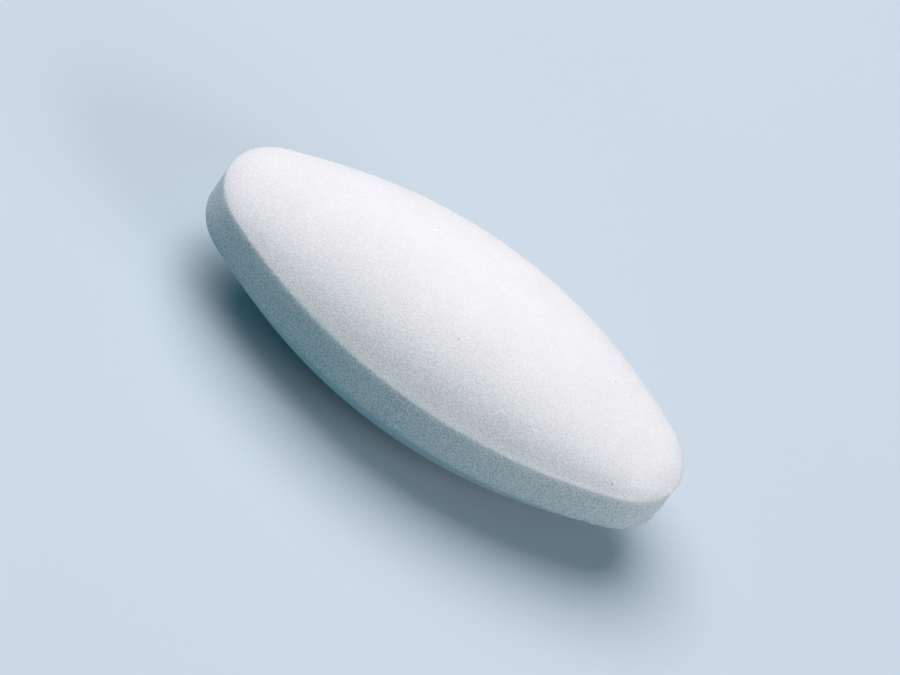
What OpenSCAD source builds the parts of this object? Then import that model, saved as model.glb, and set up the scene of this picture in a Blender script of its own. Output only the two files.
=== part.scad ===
// Magnetic stir bar of the oblong kind: a white fluoropolymer jacket, moulded in a closed die
// round a cylindrical bar magnet. The die wall leaves an upright band all the way round, and the
// two punches leave a deep crown above and below it.
// The long axis lies on X. The bar rests on the top of its lower crown, at the origin, and spins
// about Z.

/* [Jacket] */
// Length over the two rounded tips
body_l = 35; // [28:0.5:50]
// Width across the middle
body_w = 16; // [13:0.5:20]
// Radius of each tip, seen from above
tip_r = 4.6; // [3:0.1:5.5]
// Height of the upright band
band_h = 3; // [1.5:0.1:5]
// Height of each crown above or below the band, at the middle
crown_h = 4.65; // [3.8:0.05:5.8]

/* [Magnet] */
// Diameter of the bar magnet
magnet_d = 6; // [4:0.1:7.2]
// Length of the bar magnet
magnet_l = 20; // [12:0.5:24]
// Chamfer at each end of the magnet
magnet_chamfer = 0.4; // [0.1:0.05:0.8]

/* [Hidden] */

// Facets of a full circle
round_fn = 180;
// Spacing of the stations along the crown's profile
station_step = 0.5;

half_l = body_l / 2;
half_w = body_w / 2;
half_band = band_h / 2;
rest_height = half_band + crown_h;

// The plan is two wide side arcs that run tangent into two tip arcs.
tip_x = half_l - tip_r;
side_r = (tip_x * tip_x + half_w * half_w - tip_r * tip_r) / (2 * (half_w - tip_r));
side_y = side_r - half_w;
// Where a side arc hands over to a tip arc
tangent_x = tip_x * side_r / (side_r - tip_r);

// Each crown is turned about an axis that lies axis_drop below the band's edge, so that its
// section at the middle is one arc through both edges and the top.
spindle_r = (half_w * half_w + crown_h * crown_h) / (2 * crown_h);
axis_drop = spindle_r - crown_h;
// The turned form closes in a ball nose beyond each tip.
nose_r = norm([axis_drop, tip_r]);
nose_angle = atan2(tangent_x - tip_x, turned_radius(tangent_x));
nose_steps = 14;
side_steps = ceil(tangent_x / station_step);

// Half the width of the plan at x, on the side arcs
function side_half_width(x) = sqrt(side_r * side_r - x * x) - side_y;

// Radius of the turned crown at x, which makes it pass through the plan's edge
function turned_radius(x) = norm([side_half_width(x), axis_drop]);

// Half of the turned profile, as [radius, x], from the middle to the nose
side_profile = [for (i = [0 : side_steps]) let (x = tangent_x * i / side_steps) [turned_radius(x), x]];
nose_profile = [for (i = [1 : nose_steps])
    let (a = nose_angle + (90 - nose_angle) * i / nose_steps)
    [nose_r * cos(a), tip_x + nose_r * sin(a)]];
half_profile = concat(side_profile, nose_profile);
mirrored_profile = [for (i = [len(half_profile) - 1 : -1 : 1]) [half_profile[i][0], -half_profile[i][1]]];

// The outline seen from above, with tangent tips
module plan() {
    intersection() {
        translate([0, side_y]) circle(r = side_r, $fn = 2 * round_fn);
        translate([0, -side_y]) circle(r = side_r, $fn = 2 * round_fn);
        square([2 * tangent_x, body_w], center = true);
    }
    for (side = [-1, 1])
        translate([side * tip_x, 0]) circle(r = tip_r, $fn = round_fn);
}

// The turned form of one crown, about an axis below (side = 1) or above (side = -1) the band
module turned_crown(side) {
    translate([0, 0, side * (half_band - axis_drop)])
        rotate([0, 90, 0])
            rotate_extrude($fn = round_fn)
                polygon(concat(mirrored_profile, half_profile));
}

// The solid form of the bar: the plan as a straight die, cut by both crowns
module bar_form() {
    intersection() {
        linear_extrude(height = 2 * rest_height + 1, center = true) plan();
        turned_crown(1);
        turned_crown(-1);
    }
}

// The magnet's shape, which is also the room that the jacket is moulded round
module magnet_form() {
    inner_r = magnet_d / 2 - magnet_chamfer;
    rotate([0, 90, 0])
        rotate_extrude($fn = round_fn)
            polygon([
                [0, -magnet_l / 2],
                [inner_r, -magnet_l / 2],
                [magnet_d / 2, -magnet_l / 2 + magnet_chamfer],
                [magnet_d / 2, magnet_l / 2 - magnet_chamfer],
                [inner_r, magnet_l / 2],
                [0, magnet_l / 2]
            ]);
}

module jacket() {
    color([0.93, 0.93, 0.92])
        translate([0, 0, rest_height])
            difference() {
                bar_form();
                magnet_form();
            }
}

module magnet() {
    color([0.42, 0.42, 0.44])
        translate([0, 0, rest_height])
            magnet_form();
}

jacket();
magnet();
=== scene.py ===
"""Looks of the magnetic stir bar: a white moulded jacket, and the bar magnet sealed inside it."""

import logging
import math
from collections.abc import Callable
from dataclasses import dataclass, field
from enum import Enum

import bpy
from mathutils import Euler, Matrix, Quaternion, Vector


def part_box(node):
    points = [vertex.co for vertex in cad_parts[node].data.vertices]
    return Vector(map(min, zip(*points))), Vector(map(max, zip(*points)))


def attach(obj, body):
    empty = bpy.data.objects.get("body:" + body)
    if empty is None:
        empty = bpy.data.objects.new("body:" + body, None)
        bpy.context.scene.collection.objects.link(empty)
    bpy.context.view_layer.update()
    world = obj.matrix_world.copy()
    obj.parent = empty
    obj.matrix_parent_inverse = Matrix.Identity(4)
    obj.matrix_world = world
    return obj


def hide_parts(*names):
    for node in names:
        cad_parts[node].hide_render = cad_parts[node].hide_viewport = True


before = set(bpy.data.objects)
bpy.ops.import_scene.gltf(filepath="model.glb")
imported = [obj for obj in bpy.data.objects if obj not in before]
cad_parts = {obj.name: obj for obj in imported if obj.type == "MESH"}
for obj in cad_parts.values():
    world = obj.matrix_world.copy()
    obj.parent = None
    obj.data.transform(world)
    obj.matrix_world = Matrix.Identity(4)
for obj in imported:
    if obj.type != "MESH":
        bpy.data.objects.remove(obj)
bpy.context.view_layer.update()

LOG = logging.getLogger("stir_bar")

BODY = "root"
MM = 0.001
MICRON = 0.001 * MM

Colour = tuple[float, float, float]
Value = float | bpy.types.NodeSocket


class Level(Enum):
    """The two rims and the middle of the upright band, in half band heights above its middle."""

    UPPER = 1
    MIDDLE = 0
    LOWER = -1


class Flaw(Enum):
    """What the mould left on the band, by the sign of the push along the surface."""

    NIB = 1
    CHIP = -1


class Noise(Enum):
    """The noise textures that the finishes are made of."""

    SOFT = "ShaderNodeTexNoise"
    CELLS = "ShaderNodeTexVoronoi"


# ---------------------------------------------------------------------------------------------
# Modelling by hand
# ---------------------------------------------------------------------------------------------


def select_only(obj: bpy.types.Object) -> None:
    """Makes one object the only selected one, and the active one.

    Args:
        obj: The object to work on.
    """
    bpy.ops.object.select_all(action="DESELECT")
    obj.select_set(True)
    bpy.context.view_layer.objects.active = obj


def open_mesh(obj: bpy.types.Object, chosen: Callable[[Vector], bool] | None = None) -> None:
    """Opens an object in edit mode with some of its points selected.

    Args:
        obj: The object to edit.
        chosen: Says which points are selected, by their place. Without it every point is.
    """
    select_only(obj)
    bpy.ops.object.mode_set(mode="EDIT")
    bpy.ops.mesh.select_mode(type="VERT")
    bpy.ops.mesh.select_all(action="SELECT")
    if chosen is None:
        return
    bpy.ops.mesh.select_all(action="DESELECT")
    bpy.ops.object.mode_set(mode="OBJECT")
    for vertex in obj.data.vertices:
        vertex.select = chosen(vertex.co)
    bpy.ops.object.mode_set(mode="EDIT")


def close_mesh() -> None:
    """Goes back to object mode."""
    bpy.ops.object.mode_set(mode="OBJECT")


def apply_modifier(obj: bpy.types.Object, modifier: bpy.types.Modifier) -> None:
    """Applies one modifier to its mesh.

    Args:
        obj: The object that has the modifier.
        modifier: The modifier.
    """
    select_only(obj)
    bpy.ops.object.modifier_apply(modifier=modifier.name)


def start_point(name: str, place: Vector) -> bpy.types.Object:
    """Starts a mesh as one selected point in edit mode, for the spin operator to draw with.

    Args:
        name: Name of the new object.
        place: Where the point is.

    Returns:
        The new object, still in edit mode.
    """
    bpy.ops.object.select_all(action="DESELECT")
    bpy.ops.mesh.primitive_plane_add(size=MM)
    obj = bpy.context.object
    obj.name = obj.data.name = name
    bpy.ops.object.mode_set(mode="EDIT")
    bpy.ops.mesh.select_mode(type="VERT")
    bpy.ops.mesh.select_all(action="SELECT")
    bpy.ops.mesh.merge(type="CENTER")
    bpy.ops.transform.translate(value=place)
    return obj


def spin(centre: Vector, axis: Vector, angle: float, steps: int) -> None:
    """Spins what is selected, by the right hand about an axis. The far end stays selected.

    Args:
        centre: A point on the axis.
        axis: Direction of the axis.
        angle: Angle turned, in radians.
        steps: Number of steps.
    """
    bpy.ops.mesh.spin(steps=steps, angle=-angle, center=centre, axis=axis)


def smooth_step(value: float, low: float, high: float) -> float:
    """Goes smoothly from 0 at low to 1 at high.

    Args:
        value: The value.
        low: Where the result is 0.
        high: Where the result is 1.

    Returns:
        The result, from 0 to 1.
    """
    share = min(max((value - low) / (high - low), 0.0), 1.0)
    return share * share * (3 - 2 * share)


# ---------------------------------------------------------------------------------------------
# Shader helpers
# ---------------------------------------------------------------------------------------------


@dataclass
class Sheet:
    """One node tree, with short ways to add and join nodes."""

    tree: bpy.types.NodeTree

    def node(self, kind: str, **settings: object) -> bpy.types.Node:
        """Adds a node.

        Args:
            kind: Blender's name for the kind of node.
            settings: Properties of the node, by name.

        Returns:
            The node.
        """
        made = self.tree.nodes.new(kind)
        for name, value in settings.items():
            setattr(made, name, value)
        return made

    def feed(self, socket: bpy.types.NodeSocket, value: Value | Vector | Colour) -> None:
        """Sets an input, by a number or by a link.

        Args:
            socket: The input.
            value: A number, a vector, or another node's output.
        """
        if isinstance(value, bpy.types.NodeSocket):
            self.tree.links.new(value, socket)
        elif isinstance(value, (int, float)):
            socket.default_value = value
        else:
            socket.default_value = (*value, 1.0)[: len(socket.default_value)]

    def math(self, operation: str, *values: Value) -> bpy.types.NodeSocket:
        """Adds a Math node.

        Args:
            operation: Blender's name for the operation.
            values: Its inputs.

        Returns:
            The result.
        """
        made = self.node("ShaderNodeMath", operation=operation)
        for socket, value in zip(made.inputs, values, strict=False):
            self.feed(socket, value)
        return made.outputs[0]

    def vector(self, operation: str, output: str, *values: Value | Vector) -> bpy.types.NodeSocket:
        """Adds a Vector Math node.

        Args:
            operation: Blender's name for the operation.
            output: Name of the output, Vector or Value.
            values: Its inputs.

        Returns:
            The result.
        """
        made = self.node("ShaderNodeVectorMath", operation=operation)
        for socket, value in zip(made.inputs, values, strict=False):
            self.feed(socket, value)
        return made.outputs[output]

    def spread(
        self, value: Value, low: Value, high: Value, out_low: Value, out_high: Value
    ) -> bpy.types.NodeSocket:
        """Adds a smooth Map Range node.

        Args:
            value: The value to map.
            low: The value that maps to out_low.
            high: The value that maps to out_high.
            out_low: The result at low.
            out_high: The result at high.

        Returns:
            The mapped value.
        """
        made = self.node("ShaderNodeMapRange", interpolation_type="SMOOTHSTEP")
        for socket, given in zip(made.inputs, (value, low, high, out_low, out_high), strict=False):
            self.feed(socket, given)
        return made.outputs[0]

    def blend(self, share: Value, first: Value | Colour, second: Value | Colour) -> bpy.types.NodeSocket:
        """Mixes two colours.

        Args:
            share: How much of the second colour is used.
            first: The colour at 0.
            second: The colour at 1.

        Returns:
            The mixed colour.
        """
        made = self.node("ShaderNodeMix", data_type="RGBA")
        colours = [s for s in made.inputs if s.type == "RGBA"]
        self.feed(made.inputs[0], share)
        self.feed(colours[0], first)
        self.feed(colours[1], second)
        return next(s for s in made.outputs if s.type == "RGBA")

    def shade(self, colour: Value | Colour, amount: Value) -> bpy.types.NodeSocket:
        """Multiplies a colour by a grey amount.

        Args:
            colour: The colour.
            amount: What it is multiplied by.

        Returns:
            The darker or lighter colour.
        """
        made = self.node("ShaderNodeVectorMath", operation="SCALE")
        self.feed(made.inputs["Vector"], colour)
        self.feed(made.inputs["Scale"], amount)
        return made.outputs["Vector"]

    def bump(self, height: Value, distance: float, strength: float) -> bpy.types.NodeSocket:
        """Adds a Bump node.

        Args:
            height: The height, from 0 to 1.
            distance: What a height of 1 stands for, in metres.
            strength: How much of it is used.

        Returns:
            The new normal.
        """
        made = self.node("ShaderNodeBump")
        self.feed(made.inputs["Height"], height)
        self.feed(made.inputs["Distance"], distance)
        self.feed(made.inputs["Strength"], strength)
        return made.outputs["Normal"]

    def use(self, group: bpy.types.NodeTree, **values: Value | Vector) -> bpy.types.Node:
        """Places a node group.

        Args:
            group: The group.
            values: Its inputs, by name.

        Returns:
            The group's node.
        """
        made = self.node("ShaderNodeGroup", node_tree=group)
        for name, value in values.items():
            self.feed(made.inputs[name], value)
        return made


def new_group(
    name: str, inputs: dict[str, float], output: str
) -> tuple[Sheet, bpy.types.Node, Callable[[Value], None]]:
    """Starts a node group with a Vector input, number inputs and one number output.

    Args:
        name: Name of the group.
        inputs: The number inputs, with their usual values.
        output: Name of the output.

    Returns:
        The group's sheet, its input node, and a function that takes the output's value.
    """
    tree = bpy.data.node_groups.new(name, "ShaderNodeTree")
    tree.interface.new_socket("Vector", in_out="INPUT", socket_type="NodeSocketVector")
    for label, usual in inputs.items():
        made = tree.interface.new_socket(label, in_out="INPUT", socket_type="NodeSocketFloat")
        made.default_value = usual
    tree.interface.new_socket(output, in_out="OUTPUT", socket_type="NodeSocketFloat")
    sheet = Sheet(tree)
    given = sheet.node("NodeGroupInput")
    result = sheet.node("NodeGroupOutput")
    return sheet, given, lambda value: sheet.feed(result.inputs[output], value)


@dataclass
class Effects:
    """The shader groups that more than one finish uses, and the numbers that shape them."""

    grain_detail: float = 1.0
    grain_span: tuple[float, float] = (0.45, 1.15)
    fine_ratio: float = 2.1
    fine_share: float = 0.6
    cloud_detail: float = 3.0
    cloud_span: tuple[float, float] = (0.32, 0.68)
    speck_core: float = 0.5
    line_detail: float = 2.0
    line_span: tuple[float, float] = (0.3, 0.7)
    grain: bpy.types.NodeTree = field(init=False)
    clouds: bpy.types.NodeTree = field(init=False)
    specks: bpy.types.NodeTree = field(init=False)
    lines: bpy.types.NodeTree = field(init=False)

    def __post_init__(self) -> None:
        """Builds each group once."""
        self.grain = self._grain()
        self.clouds = self._clouds()
        self.specks = self._specks()
        self.lines = self._lines()

    def _grain(self) -> bpy.types.NodeTree:
        """Builds a fine powdery grain from two sizes of noise.

        Returns:
            The group, whose height goes from 0 to 1.
        """
        sheet, given, put = new_group("fine grain", {"Size": 0.1 * MM}, "Height")
        scale = sheet.math("DIVIDE", 1.0, given.outputs["Size"])
        coarse = sheet.node(Noise.SOFT.value)
        fine = sheet.node(Noise.SOFT.value)
        for noise, finer in ((coarse, 1.0), (fine, self.fine_ratio)):
            sheet.feed(noise.inputs["Vector"], given.outputs["Vector"])
            sheet.feed(noise.inputs["Scale"], sheet.math("MULTIPLY", scale, finer))
            sheet.feed(noise.inputs["Detail"], self.grain_detail)
        both = sheet.math("MULTIPLY_ADD", fine.outputs[0], self.fine_share, coarse.outputs[0])
        put(sheet.spread(both, *self.grain_span, 0.0, 1.0))
        return sheet.tree

    def _clouds(self) -> bpy.types.NodeTree:
        """Builds a slow cloudy variation between two values.

        Returns:
            The group.
        """
        sheet, given, put = new_group("soft clouds", {"Size": 3 * MM, "Low": 0.0, "High": 1.0}, "Value")
        noise = sheet.node(Noise.SOFT.value)
        sheet.feed(noise.inputs["Vector"], given.outputs["Vector"])
        sheet.feed(noise.inputs["Scale"], sheet.math("DIVIDE", 1.0, given.outputs["Size"]))
        sheet.feed(noise.inputs["Detail"], self.cloud_detail)
        put(sheet.spread(noise.outputs[0], *self.cloud_span, given.outputs["Low"], given.outputs["High"]))
        return sheet.tree

    def _specks(self) -> bpy.types.NodeTree:
        """Builds sparse dots, which are the middles of some of the cells of a cell pattern.

        Returns:
            The group, whose mask is 1 in a dot.
        """
        usual = {"Spacing": 2 * MM, "Radius": 0.05 * MM, "Share": 0.2}
        sheet, given, put = new_group("scattered specks", usual, "Mask")
        cells = sheet.node(Noise.CELLS.value)
        sheet.feed(cells.inputs["Vector"], given.outputs["Vector"])
        sheet.feed(cells.inputs["Scale"], sheet.math("DIVIDE", 1.0, given.outputs["Spacing"]))
        reach = sheet.math("DIVIDE", given.outputs["Radius"], given.outputs["Spacing"])
        core = sheet.math("MULTIPLY", reach, self.speck_core)
        dot = sheet.spread(cells.outputs["Distance"], core, reach, 1.0, 0.0)
        lot = sheet.vector("DOT_PRODUCT", "Value", cells.outputs["Color"], Vector((1, 0, 0)))
        put(sheet.math("MULTIPLY", dot, sheet.math("LESS_THAN", lot, given.outputs["Share"])))
        return sheet.tree

    def _lines(self) -> bpy.types.NodeTree:
        """Builds fine lines: noise that is drawn out along an axis on which the vector is flattened.

        Returns:
            The group, whose height goes from 0 to 1.
        """
        sheet, given, put = new_group("drawn lines", {"Size": 0.1 * MM}, "Height")
        noise = sheet.node(Noise.SOFT.value)
        sheet.feed(noise.inputs["Vector"], given.outputs["Vector"])
        sheet.feed(noise.inputs["Scale"], sheet.math("DIVIDE", 1.0, given.outputs["Size"]))
        sheet.feed(noise.inputs["Detail"], self.line_detail)
        put(sheet.spread(noise.outputs[0], *self.line_span, 0.0, 1.0))
        return sheet.tree


def new_material(name: str) -> tuple[bpy.types.Material, Sheet, bpy.types.Node]:
    """Starts a material.

    Args:
        name: Name of the material.

    Returns:
        The material, its sheet and its Principled BSDF.
    """
    material = bpy.data.materials.new(name)
    material.use_nodes = True
    return material, Sheet(material.node_tree), material.node_tree.nodes["Principled BSDF"]


# ---------------------------------------------------------------------------------------------
# Finishes
# ---------------------------------------------------------------------------------------------


@dataclass(frozen=True)
class Inclusion:
    """A dark speck that was moulded into the upper crown, at a place along and across the bar."""

    along: float
    across: float
    radius: float = 0.06 * MM


@dataclass(frozen=True)
class MouldedPolymer:
    """White fluoropolymer as it comes out of the mould: matt, waxy, and finely grained."""

    # Colour
    white: Colour = (0.885, 0.885, 0.89)
    dull: Colour = (0.855, 0.86, 0.87)
    speck: Colour = (0.42, 0.41, 0.42)
    cloud_size: float = 4 * MM
    # Sheen and translucency
    roughness: float = 0.55
    roughness_swing: float = 0.05
    roughness_cloud_size: float = 1.5 * MM
    rim_polish: float = 0.08
    index: float = 1.37
    depth: float = 1.5 * MM
    depth_by_colour: Colour = (1.0, 0.9, 0.85)
    translucency: float = 0.8
    # Powdery grain, whose contrast fades where the surface lies flat; the stronger colour grain on steep
    # faces and on the band is partly painted relief shade, standing in for the shade that grazing light
    # brings out of the grain there
    grain_size: float = 0.115 * MM
    grain_height: float = 0.028 * MM
    grain_middle: float = 0.5
    grain_contrast: float = 0.75
    flat_fading: float = 0.89
    # Fine dust
    dust_spacing: float = 1.3 * MM
    dust_radius: float = 0.04 * MM
    dust_share: float = 0.12
    dust_strength: float = 0.35
    # Lines drawn on the band by the die wall
    line_size: float = 0.12 * MM
    line_flattening: float = 0.04
    line_height: float = 0.25
    line_slopes: tuple[float, float] = (0.1, 0.4)
    # Dark specks
    inclusion_core: float = 0.3
    inclusion_strength: float = 0.9
    inclusion_rise: float = 0.1
    inclusions: tuple[Inclusion, ...] = (
        Inclusion(-4.4 * MM, 1.9 * MM),
        Inclusion(-1.6 * MM, -6.0 * MM),
        Inclusion(0.8 * MM, -4.5 * MM, 0.08 * MM),
        Inclusion(10.4 * MM, 1.2 * MM, 0.07 * MM),
        Inclusion(11.8 * MM, 1.4 * MM),
        Inclusion(14.0 * MM, -4.0 * MM, 0.08 * MM),
    )

    def material(self, effects: Effects) -> bpy.types.Material:
        """Builds the material.

        Args:
            effects: The shared shader groups.

        Returns:
            The material.
        """
        material, sheet, shader = new_material("moulded fluoropolymer")
        place = sheet.node("ShaderNodeTexCoord").outputs["Object"]
        normal = sheet.node("ShaderNodeNewGeometry").outputs["Normal"]
        rise = sheet.vector("DOT_PRODUCT", "Value", normal, Vector((0, 0, 1)))

        grain = sheet.use(effects.grain, Vector=place, Size=self.grain_size).outputs[0]
        clouds = sheet.use(effects.clouds, Vector=place, Size=self.cloud_size).outputs[0]
        colour = sheet.blend(clouds, self.white, self.dull)
        # The grain's colour contrast grows as the surface steepens: partly real powder grain, partly
        # painted relief shade where light grazes the slopes and the band
        slope = sheet.math("ABSOLUTE", rise)
        fading = -self.flat_fading * self.grain_contrast
        amount = sheet.math("MULTIPLY_ADD", slope, fading, self.grain_contrast)
        amount = sheet.math("MULTIPLY", amount, sheet.math("SUBTRACT", grain, self.grain_middle))
        colour = sheet.shade(colour, sheet.math("ADD", amount, 1.0))
        dust = sheet.use(
            effects.specks,
            Vector=place,
            Spacing=self.dust_spacing,
            Radius=self.dust_radius,
            Share=self.dust_share,
        )
        marks = sheet.math("MULTIPLY", dust.outputs[0], self.dust_strength)
        for inclusion in self.inclusions:
            marks = sheet.math("MAXIMUM", marks, self._inclusion(sheet, place, rise, inclusion))
        colour = sheet.blend(marks, colour, self.speck)
        sheet.feed(shader.inputs["Base Color"], colour)

        worn = sheet.node("ShaderNodeAttribute", attribute_name="rim").outputs["Fac"]
        swing = sheet.use(
            effects.clouds,
            Vector=place,
            Size=self.roughness_cloud_size,
            Low=-self.roughness_swing,
            High=self.roughness_swing,
        )
        rough = sheet.math("ADD", swing.outputs[0], self.roughness)
        rough = sheet.math("MULTIPLY_ADD", worn, -self.rim_polish, rough)
        sheet.feed(shader.inputs["Roughness"], rough)

        drawn = sheet.vector("MULTIPLY", "Vector", place, Vector((1, 1, self.line_flattening)))
        lines = sheet.use(effects.lines, Vector=drawn, Size=self.line_size).outputs[0]
        upright = sheet.spread(slope, *self.line_slopes, self.line_height, 0.0)
        lines = sheet.math("MULTIPLY", lines, upright)
        relief = sheet.bump(sheet.math("ADD", grain, lines), self.grain_height, strength=1.0)
        sheet.feed(shader.inputs["Normal"], relief)

        shader.inputs["IOR"].default_value = self.index
        shader.inputs["Subsurface Weight"].default_value = self.translucency
        shader.inputs["Subsurface Radius"].default_value = self.depth_by_colour
        shader.inputs["Subsurface Scale"].default_value = self.depth
        return material

    def _inclusion(
        self, sheet: Sheet, place: Value, rise: Value, inclusion: Inclusion
    ) -> bpy.types.NodeSocket:
        """Masks one inclusion, which only the upper crown shows.

        Args:
            sheet: The material's sheet.
            place: Object coordinates.
            rise: Upward part of the normal.
            inclusion: The inclusion.

        Returns:
            The mask.
        """
        flat = sheet.vector("MULTIPLY", "Vector", place, Vector((1, 1, 0)))
        centre = Vector((inclusion.along, inclusion.across, 0))
        distance = sheet.vector("DISTANCE", "Value", flat, centre)
        core = self.inclusion_core * inclusion.radius
        dot = sheet.spread(distance, core, inclusion.radius, self.inclusion_strength, 0.0)
        return sheet.math("MULTIPLY", dot, sheet.math("GREATER_THAN", rise, self.inclusion_rise))


@dataclass(frozen=True)
class CastAlloy:
    """Cast magnet alloy, ground round and left bare: dull grey metal with pores, which are coloured
    near-black as painted shade inside the holes.
    """

    metal: Colour = (0.34, 0.335, 0.33)
    oxide: Colour = (0.17, 0.165, 0.165)
    # Near-black colour of the pores: painted shade inside the holes
    pore_shade: Colour = (0.05, 0.05, 0.05)
    roughness: float = 0.42
    oxide_size: float = 1.6 * MM
    oxide_share: float = 0.8
    oxide_roughness: float = 0.25
    pore_spacing: float = 0.7 * MM
    pore_radius: float = 0.12 * MM
    pore_share: float = 0.3
    pore_depth: float = 2.0
    line_size: float = 0.09 * MM
    line_flattening: float = 0.05
    line_roughness: float = 0.08
    grain_size: float = 0.12 * MM
    grain_share: float = 0.5
    relief_height: float = 0.008 * MM
    relief_strength: float = 0.8

    def material(self, effects: Effects) -> bpy.types.Material:
        """Builds the material.

        Args:
            effects: The shared shader groups.

        Returns:
            The material.
        """
        material, sheet, shader = new_material("cast magnet alloy")
        place = sheet.node("ShaderNodeTexCoord").outputs["Object"]
        oxide = sheet.use(effects.clouds, Vector=place, Size=self.oxide_size, High=self.oxide_share)
        clouds = oxide.outputs[0]
        specks = sheet.use(
            effects.specks,
            Vector=place,
            Spacing=self.pore_spacing,
            Radius=self.pore_radius,
            Share=self.pore_share,
        )
        pores = specks.outputs[0]
        colour = sheet.blend(clouds, self.metal, self.oxide)
        # The pores get a near-black colour, which is painted shade inside the holes, besides the dip that
        # the bump gives them
        sheet.feed(shader.inputs["Base Color"], sheet.blend(pores, colour, self.pore_shade))
        shader.inputs["Metallic"].default_value = 1.0

        flattening = Vector((1, self.line_flattening, self.line_flattening))
        drawn = sheet.vector("MULTIPLY", "Vector", place, flattening)
        lines = sheet.use(effects.lines, Vector=drawn, Size=self.line_size).outputs[0]
        grain = sheet.use(effects.grain, Vector=place, Size=self.grain_size).outputs[0]
        rough = sheet.math("MULTIPLY_ADD", clouds, self.oxide_roughness, self.roughness)
        rough = sheet.math("MULTIPLY_ADD", lines, self.line_roughness, rough)
        sheet.feed(shader.inputs["Roughness"], rough)
        height = sheet.math("MULTIPLY_ADD", grain, self.grain_share, lines)
        height = sheet.math("MULTIPLY_ADD", pores, -self.pore_depth, height)
        relief = sheet.bump(height, self.relief_height, self.relief_strength)
        sheet.feed(shader.inputs["Normal"], relief)
        return material


@dataclass(frozen=True)
class PaleBoard:
    """The studio's board: a plain pale sheet, whose bounce is cooler and weaker than what it shows."""

    shown: Colour = (0.56, 0.655, 0.72)
    bounced: Colour = (0.08, 0.227, 0.295)
    far: Colour = (0.60, 0.70, 0.77)
    fade_from: float = 0.12
    fade_to: float = 0.7
    cloud_size: float = 60 * MM
    cloud_low: float = 0.994
    cloud_high: float = 1.006
    roughness: float = 0.9
    specular: float = 0.1

    def material(self, effects: Effects) -> bpy.types.Material:
        """Builds the material.

        Args:
            effects: The shared shader groups.

        Returns:
            The material.
        """
        material, sheet, shader = new_material("pale board")
        place = sheet.node("ShaderNodeTexCoord").outputs["Object"]
        seen = seen_directly(sheet)
        clouds = sheet.use(
            effects.clouds, Vector=place, Size=self.cloud_size, Low=self.cloud_low, High=self.cloud_high
        )
        shown = sheet.shade(self.shown, clouds.outputs[0])
        sheet.feed(shader.inputs["Base Color"], sheet.blend(seen, self.bounced, shown))
        shader.inputs["Roughness"].default_value = self.roughness
        shader.inputs["Specular IOR Level"].default_value = self.specular

        glow = sheet.node("ShaderNodeEmission")
        sheet.feed(glow.inputs["Color"], self.far)
        distance = sheet.vector("LENGTH", "Value", place)
        faded = sheet.spread(distance, self.fade_from, self.fade_to, 0.0, 1.0)
        faded = sheet.math("MULTIPLY", faded, seen)
        mixed = sheet.node("ShaderNodeMixShader")
        sheet.feed(mixed.inputs[0], faded)
        sheet.feed(mixed.inputs[1], shader.outputs[0])
        sheet.feed(mixed.inputs[2], glow.outputs[0])
        sheet.feed(material.node_tree.nodes["Material Output"].inputs["Surface"], mixed.outputs[0])
        return material


def seen_directly(sheet: Sheet) -> bpy.types.NodeSocket:
    """Tells whether a ray comes from the camera, or by way of a gloss or a clear piece.

    Args:
        sheet: The sheet of a material or of the world.

    Returns:
        1 for such a ray, and 0 for any other.
    """
    path = sheet.node("ShaderNodeLightPath")
    gloss = sheet.math("MAXIMUM", path.outputs["Is Glossy Ray"], path.outputs["Is Transmission Ray"])
    return sheet.math("MAXIMUM", path.outputs["Is Camera Ray"], gloss)


# ---------------------------------------------------------------------------------------------
# Jacket
# ---------------------------------------------------------------------------------------------


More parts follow.
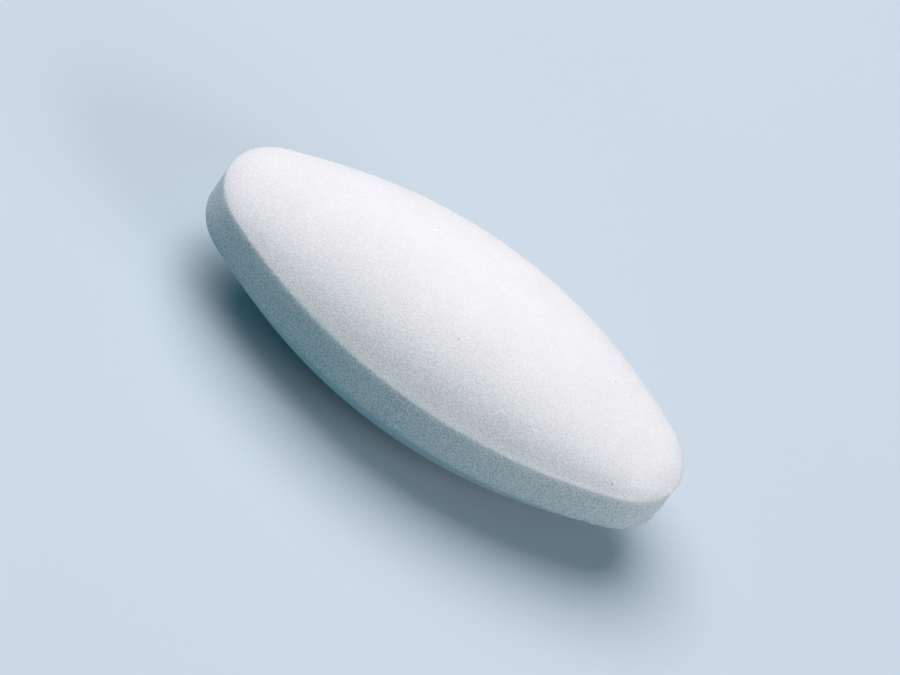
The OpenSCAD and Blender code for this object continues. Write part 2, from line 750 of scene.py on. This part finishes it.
@dataclass(frozen=True)
class BarForm:
    """The bar's outer form, in metres: the box that the frame gives, and the mould's own two sizes."""

    low: Vector
    high: Vector
    tip_radius: float = 4.6 * MM
    band_height: float = 3.0 * MM

    @property
    def half_length(self) -> float:
        """Half of the length over the tips."""
        return (self.high.x - self.low.x) / 2

    @property
    def half_width(self) -> float:
        """Half of the width across the middle."""
        return (self.high.y - self.low.y) / 2

    @property
    def mid_height(self) -> float:
        """Height of the middle of the band."""
        return (self.high.z + self.low.z) / 2

    @property
    def rim_height(self) -> float:
        """Height of the upper rim."""
        return self.mid_height + self.band_height / 2

    @property
    def crown_height(self) -> float:
        """Rise of a crown above its rim."""
        return self.high.z - self.rim_height

    @property
    def tip_x(self) -> float:
        """Distance of a tip arc's centre from the middle."""
        return self.half_length - self.tip_radius

    @property
    def side_radius(self) -> float:
        """Radius of a side arc, which runs tangent into both tip arcs."""
        reach = self.tip_x**2 + self.half_width**2 - self.tip_radius**2
        return reach / (2 * (self.half_width - self.tip_radius))

    @property
    def side_drop(self) -> float:
        """Distance of a side arc's centre beyond the long axis."""
        return self.side_radius - self.half_width

    @property
    def tangent_x(self) -> float:
        """Where a side arc hands over to a tip arc."""
        return self.tip_x * self.side_radius / (self.side_radius - self.tip_radius)

    @property
    def side_half_angle(self) -> float:
        """Half of the angle that a side arc turns through."""
        return math.asin(self.tangent_x / self.side_radius)

    @property
    def axis_drop(self) -> float:
        """How far the axis that a crown is turned about lies below its rim."""
        spindle_radius = (self.half_width**2 + self.crown_height**2) / (2 * self.crown_height)
        return spindle_radius - self.crown_height

    def height_of(self, level: Level) -> float:
        """Height of a level of the band.

        Args:
            level: The level.

        Returns:
            Its height above the board.
        """
        return self.mid_height + level.value * self.band_height / 2

    def half_width_at(self, x: float) -> float:
        """Half of the plan's width at a station.

        Args:
            x: Place of the station along the bar.

        Returns:
            The half width, which is 0 beyond the tips.
        """
        x = abs(x)
        if x < self.tangent_x:
            return math.sqrt(self.side_radius**2 - x**2) - self.side_drop
        return math.sqrt(max(self.tip_radius**2 - (x - self.tip_x) ** 2, 0.0))

    def crown_rise_at(self, half: float) -> float:
        """Rise of a crown on the long axis.

        Args:
            half: Half of the plan's width at the station.

        Returns:
            The rise, as a share of the crown's height at the middle.
        """
        return (math.hypot(half, self.axis_drop) - self.axis_drop) / self.crown_height


@dataclass(frozen=True)
class MouldMark:
    """A small flaw on the band, where the mould's parts met.

    It lies at a place along the bar, on the side of +Y (1) or -Y (-1).
    """

    flaw: Flaw
    level: Level
    along: float
    side: int
    height: float
    reach: float


@dataclass
class MouldedJacket:
    """The white jacket, pressed in a closed die round the magnet."""

    form: BarForm
    # Divisions of the outline, the crown, its former and the band
    tip_steps: int = 84
    side_steps: int = 156
    crown_rings: int = 46
    ring_crowding: float = 1.25
    former_steps: int = 120
    band_rings: int = 6
    seam_gap: float = 5 * MICRON
    # Rims
    rim_angle: float = 20
    rim_rounding: float = 0.11 * MM
    rim_segments: int = 3
    rim_wear_reach: float = 0.22 * MM
    # The crown's shoulders, which are fuller towards one tip
    shoulder_height: float = 0.25 * MM
    shoulder_lean: float = 0.65
    shoulder_end: float = 0.95
    shoulder_fullness: float = 9
    shoulder_fall: float = 1.2
    # The land along the rim, which is weaker on the left
    land_depth: float = 0.085 * MM
    land_width: float = 0.05
    land_left: float = 0.15
    land_from: float = -7 * MM
    land_rise: float = 1.5
    # Unevenness, and the shrinkage that keeps it inside the box
    waviness: float = 0.02 * MM
    sink_size: float = 5 * MM
    ripple_size: float = 0.8 * MM
    ripple_share: float = 0.25
    shrinkage: float = 2e-4
    # Mould marks
    wide_mark: float = 1.0 * MM
    mark_margin: float = 1.5
    mark_cuts: int = 2
    mark_turn: float = 3
    # Edges sharper than this angle, in degrees, stay sharp
    smooth_angle: float = 35
    piece: bpy.types.Object = field(init=False)

    def build(self, magnet: bpy.types.Object) -> bpy.types.Object:
        """Models the jacket.

        Args:
            magnet: The magnet's CAD node, which the jacket is moulded round.

        Returns:
            The finished piece.
        """
        self.piece = self._outline()
        former = self._crown_former()
        self._crown_rings()
        self._press(former)
        self._shape_section()
        self._band()
        self._lower_half()
        self._round_rims()
        self._unevenness()
        self._mould_marks()
        self._rim_attribute()
        self._pocket(magnet)
        select_only(self.piece)
        bpy.ops.object.shade_smooth_by_angle(angle=math.radians(self.smooth_angle))
        return self.piece

    def dress(self, effects: Effects) -> None:
        """Gives the jacket its finish and its place in the frame.

        Args:
            effects: The shared shader groups.
        """
        self.piece.data.materials.clear()
        self.piece.data.materials.append(MouldedPolymer().material(effects))
        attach(self.piece, BODY)
        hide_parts("jacket")

    def _outline(self) -> bpy.types.Object:
        """Draws the outline at the upper rim with one point, spun round four tangent arcs.

        Returns:
            The outline, a closed chain of edges.
        """
        form = self.form
        side_turn = 2 * form.side_half_angle
        start = Vector((form.tangent_x, -form.half_width_at(form.tangent_x), form.rim_height))
        obj = start_point("moulded_jacket", start)
        up = Vector((0, 0, 1))
        for end in (1, -1):
            spin(Vector((end * form.tip_x, 0, 0)), up, math.pi - side_turn, self.tip_steps)
            spin(Vector((0, -end * form.side_drop, 0)), up, side_turn, self.side_steps)
        bpy.ops.mesh.select_all(action="SELECT")
        bpy.ops.mesh.remove_doubles(threshold=MICRON)
        close_mesh()
        return obj

    def _crown_former(self) -> bpy.types.Object:
        """Spins the front half of the rim over to the back half, which gives the punch's face.

        Returns:
            The punch's face.
        """
        form = self.form
        select_only(self.piece)
        bpy.ops.object.duplicate()
        former = bpy.context.object
        open_mesh(former, lambda place: place.y > MICRON)
        bpy.ops.mesh.delete(type="VERT")
        bpy.ops.mesh.select_all(action="SELECT")
        half_turn = math.atan2(form.half_width, form.axis_drop)
        centre = Vector((0, 0, form.rim_height - form.axis_drop))
        spin(centre, Vector((1, 0, 0)), -2 * half_turn, self.former_steps)
        close_mesh()
        return former

    def _crown_rings(self) -> None:
        """Extrudes the rim inwards, ring by ring, to a pole that closes it."""
        open_mesh(self.piece)
        before = 1.0
        for ring in range(1, self.crown_rings):
            size = 1 - (ring / self.crown_rings) ** self.ring_crowding
            bpy.ops.mesh.extrude_edges_indiv()
            bpy.ops.transform.resize(value=(size / before, size / before, 1), center_override=(0, 0, 0))
            before = size
        bpy.ops.mesh.extrude_edges_indiv()
        bpy.ops.mesh.merge(type="CENTER")
        close_mesh()

    def _press(self, former: bpy.types.Object) -> None:
        """Raises the rings inside the rim onto the punch's face.

        Args:
            former: The punch's face, which is used up.
        """
        rim_points = 2 * (self.tip_steps + self.side_steps)
        group = self.piece.vertex_groups.new(name="crown")
        group.add(range(rim_points, len(self.piece.data.vertices)), 1.0, "REPLACE")
        wrap = self.piece.modifiers.new("press", "SHRINKWRAP")
        wrap.target = former
        wrap.wrap_method = "PROJECT"
        wrap.use_project_z = True
        wrap.use_positive_direction = True
        wrap.vertex_group = group.name
        apply_modifier(self.piece, wrap)
        bpy.data.objects.remove(former)

    def _shape_section(self) -> None:
        """Fills the crown's shoulders a little, and leaves a straighter land along the rim."""
        form = self.form
        shoulder = self.piece.vertex_groups.new(name="shoulder")
        land = self.piece.vertex_groups.new(name="land")
        for vertex in self.piece.data.vertices:
            half = form.half_width_at(vertex.co.x)
            if vertex.co.z < form.rim_height + MICRON or half < MICRON:
                continue
            across = min(abs(vertex.co.y) / half, 1.0)
            rise = form.crown_rise_at(half)
            inside = max(1 - (across / self.shoulder_end) ** self.shoulder_fullness, 0.0)
            swell = across**2 * inside**self.shoulder_fall
            lean = 1 + self.shoulder_lean * vertex.co.x / form.half_length
            shoulder.add([vertex.index], swell * rise * lean, "REPLACE")
            inset = (1 - across) / self.land_width
            sharper = self.land_left + (1 - self.land_left) * smooth_step(vertex.co.x, self.land_from, 0)
            dip = inset * math.exp(1 - inset) * sharper * min(self.land_rise * rise, 1.0)
            land.add([vertex.index], dip, "REPLACE")
        for name, height in (("shoulder", self.shoulder_height), ("land", -self.land_depth)):
            push = self.piece.modifiers.new(name, "DISPLACE")
            push.direction = "Z"
            push.mid_level = 0.0
            push.strength = height
            push.vertex_group = name
            apply_modifier(self.piece, push)

    def _band(self) -> None:
        """Extrudes the rim down to the middle of the band."""
        form = self.form
        open_mesh(self.piece, lambda place: place.z < form.rim_height + MICRON)
        for _ in range(self.band_rings // 2):
            bpy.ops.mesh.extrude_edges_indiv()
            bpy.ops.transform.translate(value=(0, 0, -form.band_height / self.band_rings))
        close_mesh()

    def _lower_half(self) -> None:
        """Mirrors the upper half and joins the two round the middle of the band."""
        middle = bpy.data.objects.new("middle", None)
        bpy.context.scene.collection.objects.link(middle)
        middle.location.z = self.form.mid_height
        bpy.context.view_layer.update()
        mirror = self.piece.modifiers.new("lower half", "MIRROR")
        mirror.mirror_object = middle
        mirror.use_axis = (False, False, True)
        mirror.merge_threshold = self.seam_gap
        apply_modifier(self.piece, mirror)
        bpy.data.objects.remove(middle)
        open_mesh(self.piece)
        bpy.ops.mesh.remove_doubles(threshold=MICRON)
        bpy.ops.mesh.normals_make_consistent(inside=False)
        close_mesh()

    def _round_rims(self) -> None:
        """Rounds both rims by the mould's own small radius."""
        bevel = self.piece.modifiers.new("rims", "BEVEL")
        bevel.limit_method = "ANGLE"
        bevel.angle_limit = math.radians(self.rim_angle)
        bevel.width = self.rim_rounding
        bevel.segments = self.rim_segments
        apply_modifier(self.piece, bevel)

    def _unevenness(self) -> None:
        """Lets the surface sink in by a few microns here and there, as pressed powder does."""
        layers = (
            ("sink", self.sink_size, self.waviness),
            ("ripple", self.ripple_size, self.waviness * self.ripple_share),
        )
        for name, size, depth in layers:
            texture = bpy.data.textures.new(name, "CLOUDS")
            texture.noise_scale = size
            push = self.piece.modifiers.new(name, "DISPLACE")
            push.texture = texture
            push.texture_coords = "LOCAL"
            push.mid_level = 1.0
            push.strength = depth
            apply_modifier(self.piece, push)
        open_mesh(self.piece)
        size = 1 - self.shrinkage
        middle = (0, 0, self.form.mid_height)
        bpy.ops.transform.resize(value=(size, size, size), center_override=middle)
        close_mesh()

    def _mould_marks(self) -> None:
        """Leaves the small nibs and chips where the mould's parts met."""
        form = self.form
        # Kind, level, place along the bar, side, height and reach
        marks = (
            MouldMark(Flaw.NIB, Level.UPPER, 0.16 * MM - form.tangent_x, 1, 0.18 * MM, 0.24 * MM),
            MouldMark(Flaw.CHIP, Level.UPPER, 1.1 * MM - form.tangent_x, 1, 0.04 * MM, 0.4 * MM),
            MouldMark(Flaw.NIB, Level.UPPER, form.half_length - 0.1 * MM, -1, 0.11 * MM, 0.6 * MM),
            MouldMark(Flaw.CHIP, Level.LOWER, form.half_length - 0.02 * MM, -1, 0.22 * MM, 1.1 * MM),
            MouldMark(Flaw.CHIP, Level.MIDDLE, form.half_length - 0.02 * MM, -1, 0.2 * MM, 1.4 * MM),
            MouldMark(Flaw.NIB, Level.LOWER, form.tangent_x - 0.7 * MM, -1, 0.07 * MM, 0.35 * MM),
            MouldMark(Flaw.CHIP, Level.LOWER, form.tangent_x - 1.3 * MM, -1, 0.06 * MM, 0.4 * MM),
            MouldMark(Flaw.NIB, Level.LOWER, form.tangent_x - 2.1 * MM, -1, 0.05 * MM, 0.35 * MM),
        )
        for mark in marks:
            self._mark(mark)

    def _mark(self, mark: MouldMark) -> None:
        """Makes one flaw, by one point that is pulled or pushed and takes its neighbours along.

        The mesh round a narrow flaw is divided first.

        Args:
            mark: The flaw.
        """
        form = self.form
        half = form.half_width_at(mark.along)
        place = Vector((mark.along, mark.side * half, form.height_of(mark.level)))
        out = Vector((place.x, place.y * self.mark_turn, 0)).normalized()
        out = (out + Vector((0, 0, mark.level.value))).normalized()
        if mark.reach < self.wide_mark:
            open_mesh(self.piece, lambda point: (point - place).length < self.mark_margin * mark.reach)
            bpy.ops.mesh.subdivide(number_cuts=self.mark_cuts)
            close_mesh()
        nearest = min(self.piece.data.vertices, key=lambda vertex: (vertex.co - place).length)
        top = nearest.co.copy()
        open_mesh(self.piece, lambda point: point == top)
        bpy.ops.transform.translate(
            value=out * mark.flaw.value * mark.height,
            use_proportional_edit=True,
            proportional_edit_falloff="SHARP",
            proportional_size=mark.reach,
        )
        close_mesh()

    def _rim_attribute(self) -> None:
        """Stores how near each point is to a rim, for the wear that the finish shows there."""
        rims = [self.form.height_of(level) for level in (Level.LOWER, Level.UPPER)]
        attribute = self.piece.data.attributes.new("rim", "FLOAT", "POINT")
        for vertex in self.piece.data.vertices:
            gap = min(abs(vertex.co.z - height) for height in rims)
            attribute.data[vertex.index].value = math.exp(-((gap / self.rim_wear_reach) ** 2))

    def _pocket(self, magnet: bpy.types.Object) -> None:
        """Gives the jacket its inner wall, which is the magnet's own surface turned inside out.

        Args:
            magnet: The magnet's CAD node.
        """
        wall = bpy.data.objects.new("pocket", magnet.data.copy())
        bpy.context.scene.collection.objects.link(wall)
        open_mesh(wall)
        bpy.ops.mesh.customdata_custom_splitnormals_clear()
        bpy.ops.mesh.remove_doubles(threshold=MICRON)
        bpy.ops.mesh.normals_make_consistent(inside=True)
        close_mesh()
        select_only(self.piece)
        wall.select_set(True)
        bpy.ops.object.join()


# ---------------------------------------------------------------------------------------------
# Magnet
# ---------------------------------------------------------------------------------------------


@dataclass
class BarMagnet:
    """The cast bar magnet, whose shape is the CAD node's own."""

    node: bpy.types.Object

    def dress(self, effects: Effects) -> None:
        """Gives the magnet its finish.

        Args:
            effects: The shared shader groups.
        """
        finish = CastAlloy().material(effects)
        if not self.node.material_slots:
            self.node.data.materials.append(finish)
        for slot in self.node.material_slots:
            slot.material = finish


# ---------------------------------------------------------------------------------------------
# Studio
# ---------------------------------------------------------------------------------------------


def direction(tilt: float, azimuth: float) -> Vector:
    """A direction by its angle from straight up and its angle round from the long axis.

    Args:
        tilt: Angle from straight up, in degrees.
        azimuth: Angle round from +X, in degrees.

    Returns:
        The unit vector.
    """
    lean, turn = math.radians(tilt), math.radians(azimuth)
    return Vector((math.sin(lean) * math.cos(turn), math.sin(lean) * math.sin(turn), math.cos(lean)))


@dataclass(frozen=True)
class SoftLamp:
    """A round soft box that looks at the bar."""

    name: str
    tilt: float
    azimuth: float
    distance: float
    diameter: float
    watts: float
    glow: Colour = (1.0, 0.903, 0.925)

    def hang(self, target: Vector) -> None:
        """Hangs the lamp.

        Args:
            target: What it looks at.
        """
        data = bpy.data.lights.new(self.name, "AREA")
        data.shape = "DISK"
        data.size = self.diameter
        data.energy = self.watts
        data.color = self.glow
        lamp = bpy.data.objects.new(self.name, data)
        bpy.context.scene.collection.objects.link(lamp)
        away = direction(self.tilt, self.azimuth)
        lamp.location = target + away * self.distance
        lamp.rotation_euler = away.to_track_quat("Z", "Y").to_euler()


@dataclass
class Studio:
    """Camera, board, lamps and surrounding light."""

    centre: Vector
    elevation: float = 44.4
    azimuth: float = -0.68
    roll: float = 35.42
    camera_distance: float = 0.6
    lens: float = 377.7
    film_width: float = 36
    nearest: float = 0.01
    farthest: float = 20
    sideways: float = 0.31 * MM
    board_radius: float = 4.0
    board_points: int = 96
    ambient: Colour = (0.02, 0.1, 0.112)
    lamps: tuple[SoftLamp, ...] = (
        SoftLamp("key", tilt=25, azimuth=145, distance=0.8, diameter=0.9, watts=8.35),
        SoftLamp("fill", tilt=65, azimuth=-20, distance=0.9, diameter=0.5, watts=3.33),
    )

    def build(self, effects: Effects) -> None:
        """Sets the studio up.

        Args:
            effects: The shared shader groups.
        """
        self._camera()
        board = self._board(effects)
        for lamp in self.lamps:
            lamp.hang(self.centre)
        self._surroundings()
        bpy.context.scene.view_settings.view_transform = "Standard"

    def _camera(self) -> None:
        """Places the camera, which sees the bar's long axis slope down to the right."""
        data = bpy.data.cameras.new("camera")
        data.sensor_width = self.film_width
        data.lens = self.lens
        data.clip_start = self.nearest
        data.clip_end = self.farthest
        camera = bpy.data.objects.new("camera", data)
        bpy.context.scene.collection.objects.link(camera)
        back = direction(90 - self.elevation, -90 - self.azimuth)
        turn: Quaternion = back.to_track_quat("Z", "Y")
        turn = turn @ Euler((0, 0, math.radians(self.roll))).to_quaternion()
        right = turn @ Vector((1, 0, 0))
        camera.location = self.centre + back * self.camera_distance + right * self.sideways
        camera.rotation_euler = turn.to_euler()
        bpy.context.scene.camera = camera

    def _board(self, effects: Effects) -> bpy.types.Object:
        """Lays the board.

        Args:
            effects: The shared shader groups.

        Returns:
            The board.
        """
        bpy.ops.object.select_all(action="DESELECT")
        bpy.ops.mesh.primitive_circle_add(
            vertices=self.board_points, radius=self.board_radius, fill_type="NGON"
        )
        board = bpy.context.object
        board.name = board.data.name = "board"
        board.data.materials.append(PaleBoard().material(effects))
        return board

    def _surroundings(self) -> None:
        """Sets the weak light from all round, and the pale colour that the camera sees there."""
        world = bpy.data.worlds.new("studio")
        bpy.context.scene.world = world
        world.use_nodes = True
        sheet = Sheet(world.node_tree)
        background = world.node_tree.nodes["Background"]
        colour = sheet.blend(seen_directly(sheet), self.ambient, PaleBoard().far)
        sheet.feed(background.inputs["Color"], colour)


def main() -> None:
    """Builds the studio, the jacket and the magnet, in that order."""
    logging.basicConfig(level=logging.INFO, format="%(name)s: %(message)s")
    low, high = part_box("jacket")
    form = BarForm(low, high)
    effects = Effects()

    studio = Studio(Vector((0, 0, form.mid_height)))
    studio.build(effects)
    LOG.info("studio: %d lamps", len(studio.lamps))

    jacket = MouldedJacket(form)
    piece = jacket.build(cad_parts["magnet"])
    jacket.dress(effects)
    LOG.info("%s: %d faces", piece.name, len(piece.data.polygons))

    magnet = BarMagnet(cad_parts["magnet"])
    magnet.dress(effects)
    LOG.info("%s: %d faces", magnet.node.name, len(magnet.node.data.polygons))


if __name__ == "__main__":
    main()
